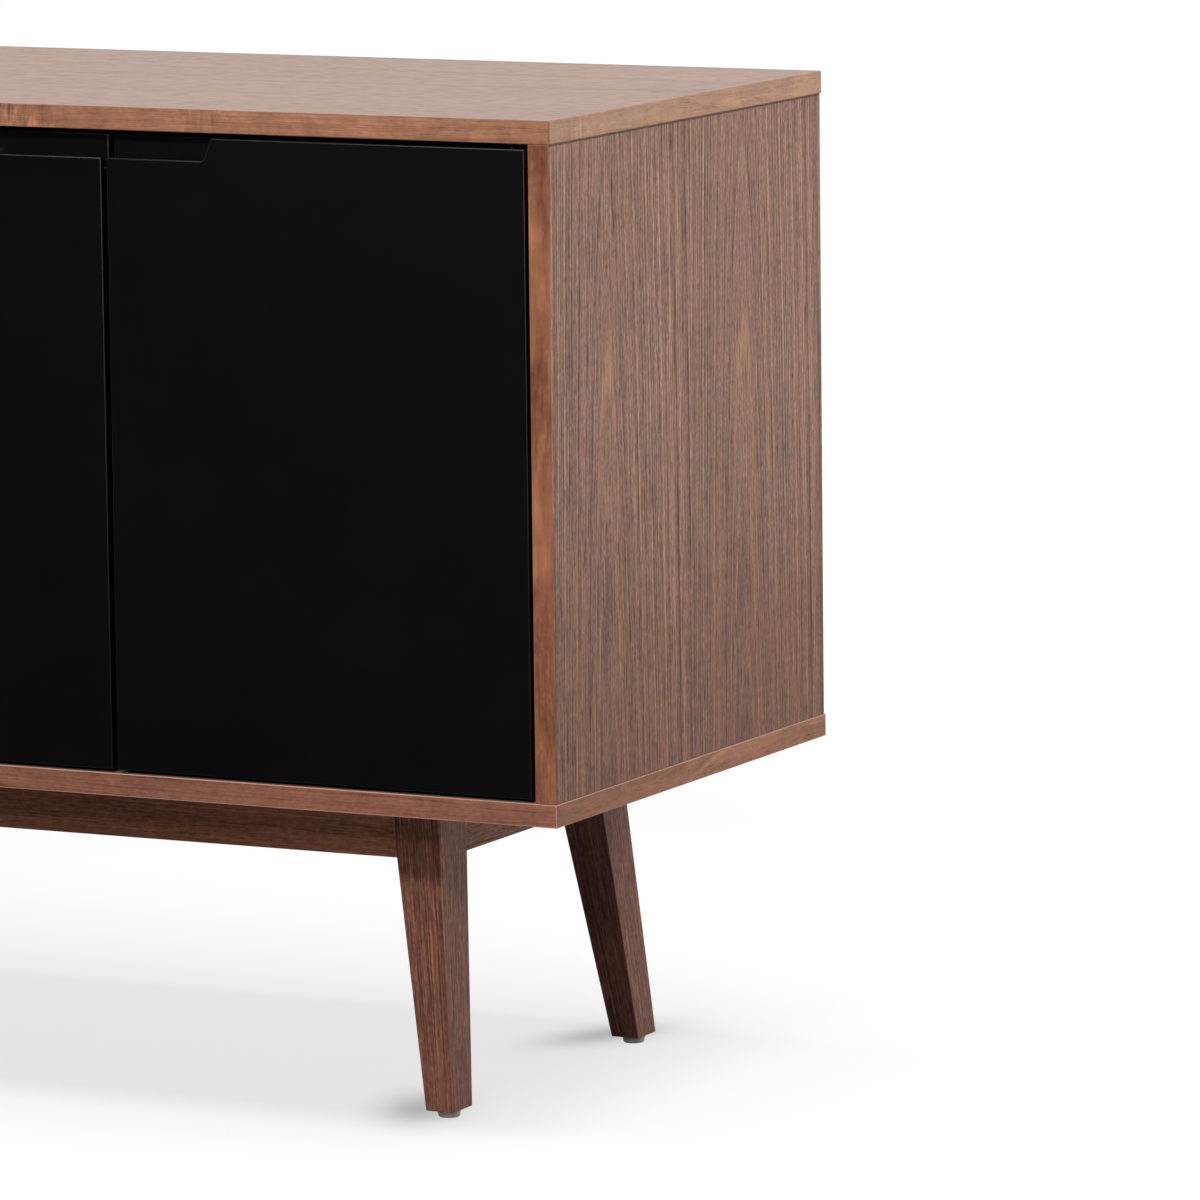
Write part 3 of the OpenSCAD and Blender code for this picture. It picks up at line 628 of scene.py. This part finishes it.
def solid_walnuts():
    """The walnut of the legs and the aprons, with a lighter and a darker copy of the legs'
    walnut as painted light and painted shade.
    """
    leg = {"axis": leg_line("leg_front_right"), **LEG}
    return [
        walnut("walnut_leg", stops=LEG_STOPS, **leg),
        # Painted light: a paler copy for the legs' left and right faces, darker towards the
        # floor as painted shade
        walnut("walnut_leg_side", stops=painted_light_and_shade(LEG_STOPS, 1.6),
               foot=(0.0, 0.26, (0.55, 0.55, 0.55)), **leg),
        # Painted shade: a darker copy for the fronts of the rear legs
        walnut("walnut_leg_shade", stops=painted_light_and_shade(LEG_STOPS, 0.68), **leg),
        # The front and rear aprons darken away from the right end, as painted shade
        walnut("walnut_frame", grain="xzy", seed=10.0, start=0.15, heart=-0.2, slope=0.02,
               level=0.2, stops=FRAME_STOPS, foot=(0.45, 0.72, (0.74, 0.74, 0.75)),
               **{**SOLID, "parts": (0.5, 0.9, 1.1)}),
        walnut("walnut_frame_end", grain="yzx", seed=11.0, start=0.15, heart=0.7,
               slope=0.02, level=0.2, stops=FRAME_STOPS, **SOLID),
    ]


def other_finishes():
    """Lacquer, the woods of the drawer boxes, metals and plastics."""
    return [
        black_lacquer(),
        birch_ply("birch_ply", (150.0, 5.0, 110.0), (500.0, 40.0, 400.0)),
        birch_ply("birch_ply_end", (5.0, 110.0, 110.0), (40.0, 400.0, 400.0)),
        ply_edge("ply_edge_x", "x"),
        ply_edge("ply_edge_y", "y"),
        beech(),
        zinc_steel("zinc_steel", (0.50, 0.51, 0.53), (0.66, 0.66, 0.66), 0.32),
        zinc_steel("black_zinc", (0.020, 0.020, 0.022), (0.034, 0.033, 0.034), 0.5),
        moulded("grey_nylon", (0.46, 0.415, 0.39), (0.55, 0.50, 0.47), 0.5),
        moulded("dark_plastic", (0.016, 0.016, 0.017), (0.024, 0.024, 0.025), 0.42),
    ]


def make_finishes():
    """All the materials, by name."""
    made = veneers() + bands() + solid_walnuts() + other_finishes()
    return {material.name.removesuffix("_finish"): material for material in made}


FINISH = make_finishes()

# ---- Pieces -----------------------------------------------------------------------------


WELD = 1e-5  # vertices closer than this are one
FLAT = math.radians(0.4)  # faces that turn by less than this are one
SHARP = math.radians(35)  # edges that turn by more than this are arrises
GENTLE = (0.01, 0.5)  # edges that turn by this much, in radians, are on a round face


def sharp_edges(bm, longer_than):
    """The convex arrises of a mesh that are to be softened."""
    found = []
    for edge in bm.edges:
        if len(edge.link_faces) != 2 or edge.calc_length() < longer_than:
            continue
        if edge.calc_face_angle_signed(0.0) > SHARP:
            found.append(edge)
    return found


def as_mesh(bm, name):
    mesh = bpy.data.meshes.new(name + "_shape")
    bm.to_mesh(mesh)
    bm.free()
    return mesh


def softened(node, width, segments=3, longer_than=0.0004):
    """A copy of a CAD node's mesh with its arrises rounded off and marked as such."""
    bm = bmesh.new()
    bm.from_mesh(frame["nodes"][node].data)
    bmesh.ops.remove_doubles(bm, verts=bm.verts, dist=WELD)
    bmesh.ops.dissolve_limit(bm, angle_limit=FLAT, verts=bm.verts, edges=bm.edges)
    bmesh.ops.recalc_face_normals(bm, faces=bm.faces)
    mark = bm.faces.layers.float.new("arris")
    for face in bm.faces:
        face.smooth = False
    made = bmesh.ops.bevel(bm, geom=sharp_edges(bm, longer_than), offset=width,
                           offset_type="OFFSET", segments=segments, profile=0.5,
                           affect="EDGES", clamp_overlap=False, miter_outer="SHARP")
    for face in made["faces"]:
        face[mark] = 1.0
        face.smooth = True
    smooth_round_faces(bm, mark)
    return as_mesh(bm, node)


def smooth_round_faces(bm, mark):
    """Smooth shading where a face turns gently into its neighbours, as round a bore."""
    for face in bm.faces:
        gentle = 0
        for edge in face.edges:
            turned = any(f[mark] for f in edge.link_faces) != bool(face[mark])
            if turned or len(edge.link_faces) != 2:
                continue
            if GENTLE[0] < edge.calc_face_angle(0.0) < GENTLE[1]:
                gentle += 1
        if gentle >= 2:
            face.smooth = True


def body_of(node):
    """The body that the record puts a CAD node in."""
    for body, members in frame["record"]["behaviour"]["bodies"].items():
        if node in members:
            return body
    return None


def add_piece(name, mesh, body, replaced=()):
    """Links a mesh as a piece on a body, standing for the named nodes."""
    piece = bpy.data.objects.new(name, mesh)
    bpy.context.scene.collection.objects.link(piece)
    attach(piece, body)
    if replaced:
        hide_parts(*replaced)
    return piece


def paint(mesh, names, choose):
    """Gives a mesh its materials, one per face, by a function of the face."""
    for name in names:
        mesh.materials.append(FINISH[name])
    for face in mesh.polygons:
        face.material_index = names.index(choose(face.normal, face.center))


LONG = 0.015  # on a wide board, only edges longer than this are softened
FAIRLY_LONG = 0.008  # the same for smaller boards


def board(node, slot, width, names, choose, segments=3, **how):
    """A softened copy of a CAD node, painted by face and standing for it. width is in mm."""
    mesh = softened(node, width * MM, segments, **how)
    paint(mesh, names, choose)
    return add_piece(node + "_piece", mesh, body_of(node), [node])


def panel(node, slot, width, flat, front, end):
    """A lying panel: veneer above and below, bands on its edges."""
    def choose(normal, _):
        if abs(normal.z) > 0.9:
            return flat
        return end if abs(normal.x) > abs(normal.y) else front
    board(node, slot, width, [flat, front, end], choose, longer_than=LONG)


def upright(node, flat, band="band_upright"):
    """A standing panel: veneer on its two sides, bands on its edges."""
    def choose(normal, _):
        return flat if abs(normal.x) > 0.9 else band
    board(node, flat, 0.5, [flat, band], choose, longer_than=LONG)


def one(name):
    """The same finish on every face."""
    return lambda normal, centre: name


def plain(node, slot, width, finish=None, **how):
    """A board with one finish, which is that of its slot unless another is named."""
    finish = finish or slot
    return board(node, slot, width, [finish], one(finish), **how)


def make_carcass():
    panel("top_panel", "walnut_top", 0.8, "walnut_top", "band_front", "band_end")
    panel("bottom_panel", "walnut_bottom", 0.8, "walnut_top", "band_low", "band_low_end")
    for side in ("left", "right"):
        upright("side_panel_" + side, "walnut_side")
        upright("partition_" + side, "walnut_inside")
        panel("shelf_" + side, "walnut_inside", 0.5, "walnut_shelf", "band_front", "band_end")
    for part in ("left", "centre", "right"):
        plain("back_panel_" + part, "walnut_back", 0.3, segments=2)


def make_fronts():
    for door in DOORS:
        plain("door_" + door, "black_lacquer", 0.9)
    for level in LEVELS:
        plain("drawer_front_" + level, "black_lacquer", 0.9)


def leg_faces(front):
    """A leg's left and right faces take a paler copy of its walnut as painted light, and its
    front can differ.
    """
    def choose(normal, _):
        if abs(normal.x) > 0.7:
            return "walnut_leg_side"
        return front if normal.y < -0.7 else "walnut_leg"
    return choose


def make_leg_frame():
    names = ["walnut_leg", "walnut_leg_side", "walnut_leg_shade"]
    for side in ("left", "right"):
        board("leg_front_" + side, "walnut_leg", 0.9, names, leg_faces("walnut_leg"),
              longer_than=LONG)
        # The fronts of the rear legs take the darker copy, as painted shade
        board("leg_rear_" + side, "walnut_leg", 0.9, names, leg_faces("walnut_leg_shade"),
              longer_than=LONG)
    for side in ("front", "rear"):
        plain("apron_" + side, "walnut_frame", 0.8, longer_than=LONG)
    for node in ("apron_left", "apron_right", "cross_rail"):
        plain(node, "walnut_frame", 0.8, "walnut_frame_end", longer_than=LONG)
    plain("corner_blocks", "beech", 0.8, longer_than=FAIRLY_LONG)


def ply_board(node, face, edge, width):
    """A standing plywood board: layers show on its upper and lower edges."""
    def choose(normal, _):
        return edge if abs(normal.z) > 0.7 else face
    board(node, "birch_ply", width, [face, edge], choose, longer_than=FAIRLY_LONG)


def make_drawer_boxes():
    for level in LEVELS:
        ply_board("drawer_sides_" + level, "birch_ply", "ply_edge_x", 0.8)
        ply_board("drawer_ends_" + level, "birch_ply_end", "ply_edge_y", 0.5)
        plain("drawer_base_" + level, "birch_ply", 0.3)


def lathe(bm, matrix, profile, segments=24):
    """Rings of a turned shape about the matrix's Z, from (radius, height) pairs."""
    rings = []
    for radius, height in profile:
        ring = []
        for i in range(segments):
            turn = math.tau * i / segments
            at = Vector((radius * math.cos(turn), radius * math.sin(turn), height))
            ring.append(bm.verts.new(matrix @ at))
        rings.append(ring)
    for low, high in zip(rings, rings[1:]):
        for i in range(segments):
            j = (i + 1) % segments
            face = bm.faces.new((low[i], low[j], high[j], high[i]))
            face.smooth = True
    return rings


def cross_outline(reach, half):
    """The corners of an upright cross, anticlockwise."""
    return [(reach, -half), (reach, half), (half, half), (half, reach), (-half, reach),
            (-half, half), (-reach, half), (-reach, -half), (-half, -half),
            (-half, -reach), (half, -reach), (half, -half)]


def screw_head(bm, matrix, radius, height):
    """A pan head with a cross recess. Its seat is on the matrix's XY plane."""
    sunk = 0.2 * MM
    rings = lathe(bm, matrix, [
        (radius, -sunk), (radius, 0.30 * height), (0.96 * radius, 0.55 * height),
        (0.85 * radius, 0.80 * height), (0.68 * radius, 0.95 * height),
        (0.55 * radius, height)])
    bm.faces.new(list(reversed(rings[0])))
    outline = cross_outline(0.46 * radius, 0.11 * radius)
    upper = [bm.verts.new(matrix @ Vector((x, y, height))) for x, y in outline]
    lower = [bm.verts.new(matrix @ Vector((0.8 * x, 0.8 * y, 0.3 * height)))
             for x, y in outline]
    for i in range(len(outline)):
        j = (i + 1) % len(outline)
        bm.faces.new((upper[i], lower[i], lower[j], upper[j]))
    bm.faces.new(list(reversed(lower)))
    rim = [bm.edges.get((a, b)) for a, b in zip(rings[-1], rings[-1][1:] + rings[-1][:1])]
    recess = [bm.edges.get((a, b)) for a, b in zip(upper, upper[1:] + upper[:1])]
    bmesh.ops.triangle_fill(bm, use_beauty=True, use_dissolve=False, edges=rim + recess)


def facing(point, out):
    """A matrix at a point whose Z looks along out."""
    return Matrix.Translation(point) @ Vector(out).to_track_quat("Z", "Y").to_matrix().to_4x4()


TURN_BETWEEN_SCREWS = 1.7  # radians


def add_screws(name, body, places, radius, height):
    """One piece with a screw head at each place, facing the rear, each turned differently."""
    bm = bmesh.new()
    for number, place in enumerate(places):
        turned = Matrix.Rotation(TURN_BETWEEN_SCREWS * number, 4, "Z")
        screw_head(bm, facing(place, (0, 1, 0)) @ turned, radius * MM, height * MM)
    bmesh.ops.recalc_face_normals(bm, faces=bm.faces)
    mesh = as_mesh(bm, name)
    mesh.materials.append(FINISH["zinc_steel"])
    return add_piece(name, mesh, body)


def steps(low, high, count):
    """Evenly spaced values from low to high."""
    return [low + (high - low) * i / (count - 1) for i in range(count)]


def back_screw_places():
    """Along the top, the bottom and the upright edges of each back panel."""
    inset = 4.0 * MM
    places = []
    for part, columns in (("left", 5), ("centre", 3), ("right", 5)):
        low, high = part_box("back_panel_" + part)
        xs = steps(low.x + inset, high.x - inset, columns)
        zs = steps(low.z + inset, high.z - inset, 5)
        for x in xs:
            places += [(x, high.y, zs[0]), (x, high.y, zs[-1])]
        for z in zs[1:-1]:
            places += [(xs[0], high.y, z), (xs[-1], high.y, z)]
    return places


BOX_BOARD = 12.0 * MM  # how thick the ends of a drawer box are
DRAWER_SCREW_X = 85.0 * MM
DRAWER_SCREW_LOW = 38.0 * MM
DRAWER_SCREW_HIGH = 28.0 * MM


def drawer_screw_places(level):
    """Inside the front end of a drawer box, where it is screwed to the drawer front."""
    low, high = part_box("drawer_ends_" + level)
    end_y = low.y + BOX_BOARD
    return [(x, end_y, z) for x in (-DRAWER_SCREW_X, DRAWER_SCREW_X)
            for z in (low.z + DRAWER_SCREW_LOW, high.z - DRAWER_SCREW_HIGH)]


def strike_screw_places(door):
    """Near the two ends of a strike plate."""
    low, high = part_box("strike_" + door)
    middle = (low.z + high.z) / 2
    return [(x, high.y, middle) for x in (low.x + 3.6 * MM, high.x - 3.6 * MM)]


def box_shape(bm, low, high, width, segments=2):
    """A block between two corners with softened edges."""
    made = bmesh.ops.create_cube(bm, size=1.0)["verts"]
    for vert in made:
        vert.co = Vector([a + (b - a) * (0.5 + c) for a, b, c in zip(low, high, vert.co)])
    edges = {edge for vert in made for edge in vert.link_edges}
    bmesh.ops.bevel(bm, geom=list(edges), offset=width, offset_type="OFFSET",
                    segments=segments, profile=0.5, affect="EDGES", clamp_overlap=True)


POLE_HALF = 7.0 * MM
POLE_HEIGHT = 1.4 * MM
POLE_LEVELS = (3.0 * MM, 6.5 * MM)
POLE_PROUD = 0.1 * MM
POLE_SUNK = 1.5 * MM


def make_catch_poles():
    """The two steel poles in the face of each magnetic catch."""
    bm = bmesh.new()
    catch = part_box("magnetic_catches")[0]
    for door in DOORS:
        strike_low, strike_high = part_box("strike_" + door)
        middle = (strike_low.x + strike_high.x) / 2
        for level in POLE_LEVELS:
            base = catch.z + level
            box_shape(bm, (middle - POLE_HALF, catch.y - POLE_PROUD, base),
                      (middle + POLE_HALF, catch.y + POLE_SUNK, base + POLE_HEIGHT),
                      0.08 * MM)
    mesh = as_mesh(bm, "catch_poles")
    mesh.materials.append(FINISH["zinc_steel"])
    add_piece("catch_poles", mesh, "carcass")


def make_screws():
    add_screws("back_screws", "carcass", back_screw_places(), 3.1, 1.5)
    for level in LEVELS:
        add_screws("drawer_screws_" + level, level + "_drawer", drawer_screw_places(level),
                   4.0, 1.9)
    for door in DOORS:
        add_screws("strike_screws_" + door, door + "_door", strike_screw_places(door),
                   1.9, 0.18)


def make_hardware():
    make_catch_poles()
    make_screws()
    plain("glides", "grey_nylon", 0.35)
    plain("shelf_pins", "zinc_steel", 0.3)
    plain("cam_locks", "zinc_steel", 0.25, segments=2)
    plain("runner_channels", "zinc_steel", 0.25, segments=2)
    for door in DOORS:
        plain("pivots_" + door, "zinc_steel", 0.25, "black_zinc", segments=2)
    for level in LEVELS:
        plain("runner_mid_" + level, "zinc_steel", 0.25, segments=2)
        plain("drawer_rails_" + level, "zinc_steel", 0.25, segments=2)
    plain("magnetic_catches", "dark_plastic", 0.8)
    plain("door_stops", "dark_plastic", 0.8)
    for door in DOORS:
        plain("strike_" + door, "zinc_steel", 0.3)


def finish_cad_nodes():
    """Finishes for the CAD nodes whose shape is right as it is. The bushes are dark."""
    for row in frame["record"]["subparts"]:
        name = row["node"]
        look = "dark_plastic" if name == "pivot_bushes" else row["material_slot"]
        if name in frame["nodes"] and look in FINISH:
            materials = frame["nodes"][name].data.materials
            materials.clear()
            materials.append(FINISH[look])


# ---- Studio -------------------------------------------------------------------------------


def area_light(name, at, towards, size, watts):
    """A white rectangle of light at one point that looks towards another."""
    data = bpy.data.lights.new(name, "AREA")
    data.shape = "RECTANGLE"
    data.size, data.size_y = size
    data.energy = watts
    light = bpy.data.objects.new(name, data)
    light.location = at
    direction = Vector(towards) - Vector(at)
    light.rotation_euler = direction.to_track_quat("-Z", "Y").to_euler()
    bpy.context.scene.collection.objects.link(light)
    return light


def make_world():
    """A pale backdrop behind the object and a dark room in front of it. The camera sees pale."""
    world = bpy.data.worlds.new("studio")
    bpy.context.scene.world = world
    world.use_nodes = True
    sky = Nodes(world.node_tree)
    towards = sky.split(sky.node("TexCoord").outputs["Generated"])
    behind = sky.spread(towards["Y"], -0.25, 0.45, 0.035, 1.0, smooth=True)
    above = sky.spread(towards["Z"], -0.55, -0.05, 0.25, 1.0, smooth=True)
    to_camera = sky.node("LightPath").outputs["Is Camera Ray"]
    strength = sky.math("MAXIMUM", sky.times(behind, above), to_camera)
    background = sky.node("Background", {"Strength": strength}).outputs[0]
    sky.node("OutputWorld", {"Surface": background})


def flat_square(name, reach, level, material):
    """A level square that belongs to the studio and isn't seen in reflections."""
    mesh = bpy.data.meshes.new(name)
    mesh.from_pydata([(-reach, -reach, 0), (reach, -reach, 0), (reach, reach, 0),
                      (-reach, reach, 0)], [], [(0, 1, 2, 3)])
    mesh.materials.append(material)
    square = bpy.data.objects.new(name, mesh)
    square.location.z = level
    bpy.context.scene.collection.objects.link(square)
    square.visible_glossy = False
    return square


# The painted shadow on the floor under a leaning leg: how far inside the foot and behind it the
# darkest place is, how it slants towards the rear, its half width and half depth, and how dark
# it is
HOLLOW_INSIDE = 0.034
HOLLOW_BEHIND = 0.018
HOLLOW_SLANT = 0.3
HOLLOW_WIDTH = 0.030
HOLLOW_DEPTH = 0.055
HOLLOW_SHADE = 0.42
# The floor glows less near the object: how far from its middle, and by which factor
NEAR = 1.1
FAR = 1.92
NEAR_GLOW = 0.77


def painted_foot_shadow(finish):
    """1 in the shadow painted on the floor under each leaning leg, where little light reaches.
    """
    foot = leg_line("leg_rear_right")[1]
    position = finish.position()
    out = finish.math("ABSOLUTE", position[0])
    behind = finish.math("SUBTRACT", position[1], HOLLOW_BEHIND)
    deep = finish.math("SUBTRACT", finish.math("ABSOLUTE", behind), foot[1])
    slanted = finish.math("MULTIPLY_ADD", deep, -HOLLOW_SLANT, out)
    return bell(finish, (slanted, foot[0] - HOLLOW_INSIDE, HOLLOW_WIDTH),
                (deep, 0.0, HOLLOW_DEPTH))


def flecked(finish, dark, light):
    """A grey with soft flecks a third of a metre apart."""
    place = finish.point()
    fleck = finish.noise(finish.scaled(place, 3.0, 3.0, 3.0), 2.0, 0.5)
    return finish.ramp(fleck, [(0.0, (dark, dark, dark)), (1.0, (light, light, light))])


def make_floor():
    """The floor that the camera sees. It glows, so that its shadows are soft and pale."""
    finish = Finish("studio_floor")
    colour = flecked(finish, 0.048, 0.052)
    away = finish.node("VectorMath", {0: finish.point()}, operation="LENGTH")
    glow = finish.spread(away.outputs["Value"], NEAR, FAR, NEAR_GLOW, 1.0, smooth=True)
    # Painted shadow: the floor's glow is darkened by each foot
    foot_shadow = finish.math("MULTIPLY_ADD", painted_foot_shadow(finish), -HOLLOW_SHADE, 1.0)
    glow = finish.grey(finish.times(glow, foot_shadow))
    material = finish.surface(colour, 0.9, glow=glow, Emission_Strength=1.0,
                              Specular_IOR_Level=0.0)
    floor = flat_square("floor", 60.0, -0.2 * MM, material)
    floor.visible_diffuse = False
    floor.visible_shadow = False
    return floor


def make_bounce():
    """The unseen floor that throws light back up."""
    finish = Finish("studio_bounce")
    material = finish.surface(flecked(finish, 0.36, 0.40), 0.9, Specular_IOR_Level=0.0)
    bounce = flat_square("floor_bounce", 8.0, -0.5 * MM, material)
    bounce.visible_camera = False


CAMERA_AT = (3.70191324, -5.73563110, 1.30656299)
CAMERA_ANGLES = (26.673097, 8.268029, -0.632991)  # azimuth, elevation and roll, in degrees
LENS = 256.4725
SENSOR = 36.0


def make_camera():
    """The viewpoint: front right, a little above, through a long lens."""
    azimuth, elevation, roll = (math.radians(angle) for angle in CAMERA_ANGLES)
    back = Vector((math.sin(azimuth) * math.cos(elevation),
                   -math.cos(azimuth) * math.cos(elevation), math.sin(elevation)))
    right = Vector((math.cos(azimuth), math.sin(azimuth), 0.0))
    up = back.cross(right)
    turned_right = math.cos(roll) * right + math.sin(roll) * up
    turned_up = -math.sin(roll) * right + math.cos(roll) * up
    data = bpy.data.cameras.new("camera")
    data.lens = LENS
    data.sensor_width = SENSOR
    data.clip_end = 200.0
    camera = bpy.data.objects.new("camera", data)
    turn = Matrix((turned_right, turned_up, back)).transposed().to_4x4()
    camera.matrix_world = Matrix.Translation(CAMERA_AT) @ turn
    bpy.context.scene.collection.objects.link(camera)
    bpy.context.scene.camera = camera


def aim(light, thing, state):
    """Lets the light fall on this thing only (INCLUDE), or on all the others (EXCLUDE)."""
    group = bpy.data.collections.new(light.name + "_receivers")
    group.objects.link(thing)
    light.light_linking.receiver_collection = group
    group.collection_objects[0].light_linking.link_state = state


# Where each light is, the point that it looks at, its size and its watts
LIGHTS = {
    "key": ((0.9, -5.2, 4.3), (0.5, 0.0, 0.4), (2.0, 0.6), 275.0),
    "fill": ((2.0, -5.0, 2.25), (0.7, 0.0, 0.4), (1.6, 0.4), 48.0),
    "overhead": ((-0.2, 0.0, 3.0), (0.2, 0.0, 0.4), (3.0, 2.0), 56.0),
    "side": ((2.8, 1.3, 2.15), (0.9, 0.1, 0.5), (1.9, 1.9), 64.0),
}
FLOOR_LIGHT = ((1.095, -0.204, 2.6), (1.095, -0.204, 0.0), (2.64, 1.44), 507.0)


def make_studio():
    """The camera, the backdrop, and lights for the object and for the floor's shadows."""
    make_camera()
    make_world()
    floor = make_floor()
    make_bounce()
    for name, light in LIGHTS.items():
        aim(area_light(name, *light), floor, "EXCLUDE")
    aim(area_light("below", *FLOOR_LIGHT), floor, "INCLUDE")
    view = bpy.context.scene.view_settings
    view.view_transform = "Standard"
    view.look = "None"


make_carcass()
make_fronts()
make_leg_frame()
make_drawer_boxes()
make_hardware()
finish_cad_nodes()
make_studio()
